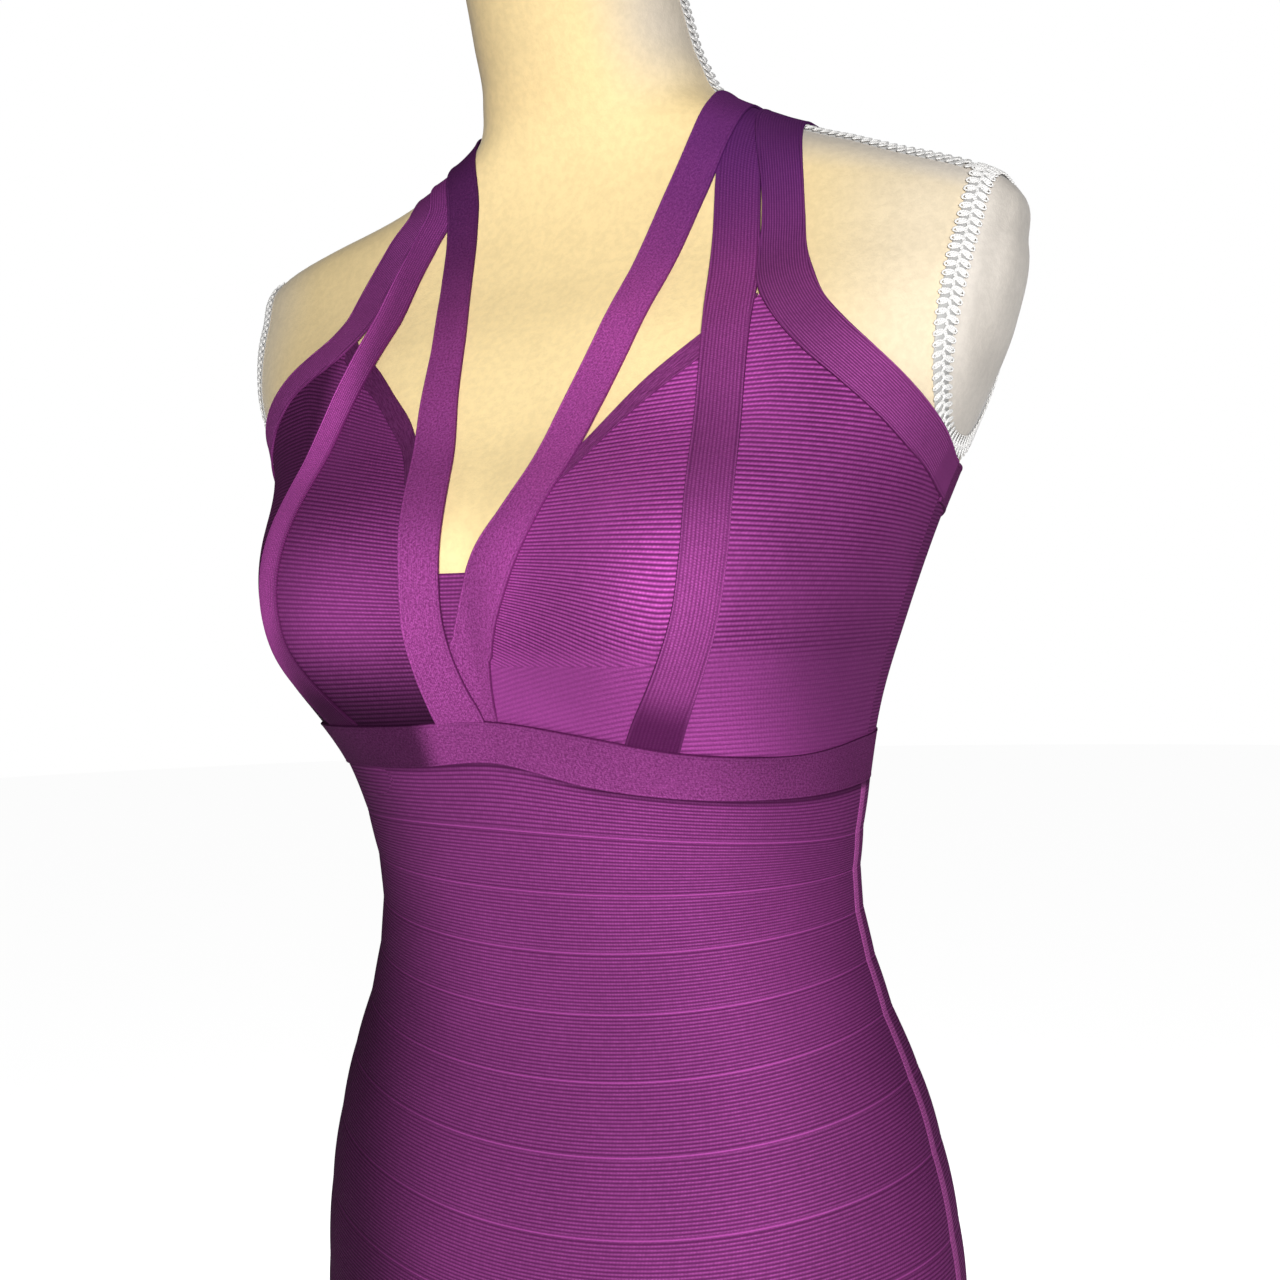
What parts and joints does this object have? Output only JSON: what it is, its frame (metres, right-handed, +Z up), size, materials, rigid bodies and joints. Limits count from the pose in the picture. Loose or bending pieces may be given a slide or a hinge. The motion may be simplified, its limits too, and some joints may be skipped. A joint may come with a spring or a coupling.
{
  "type": "bodycon dress on a limbless dress form",
  "caption": "Strappy ribbed bandage-knit bodycon dress with crossed neckline straps, worn by a limbless jersey-covered dress form that stands on a pole and a round base.",
  "frame": {"origin": "on the floor under the middle of the round base, at the bottom centre of the bounding box", "axes": "+Z up along the pole; the dress faces -Y; +X is the form's left"},
  "size_m": [0.4278, 0.36, 1.51],
  "materials": {
    "ribbed_knit": "ribbed bandage knit, matte",
    "strap_knit": "fine lengthwise knit, matte",
    "jersey": "smooth cream jersey, matte",
    "gimp_braid": "looped gimp braid, matte",
    "stand_metal": "satin paint"
  },
  "bodies": {
    "root": {"form_torso": "jersey", "arm_braid_left": "gimp_braid", "arm_braid_right": "gimp_braid", "seam_braid_left": "gimp_braid", "seam_braid_right": "gimp_braid", "stand_pole": "stand_metal", "stand_base": "stand_metal", "skirt_front": "ribbed_knit", "skirt_back": "ribbed_knit", "cup_left": "ribbed_knit", "cup_right": "ribbed_knit", "centre_gusset": "ribbed_knit", "bodice_back": "ribbed_knit", "cup_binding_left": "strap_knit", "cup_binding_right": "strap_knit", "underbust_band_front": "strap_knit", "underbust_band_back": "strap_knit", "back_top_band": "strap_knit", "neckline_strap_left": "strap_knit", "neckline_strap_right": "strap_knit", "middle_strap_left": "strap_knit", "middle_strap_right": "strap_knit", "armhole_band_left": "strap_knit", "armhole_band_right": "strap_knit", "back_strap_left": "strap_knit", "back_strap_right": "strap_knit"}
  },
  "joints": []
}
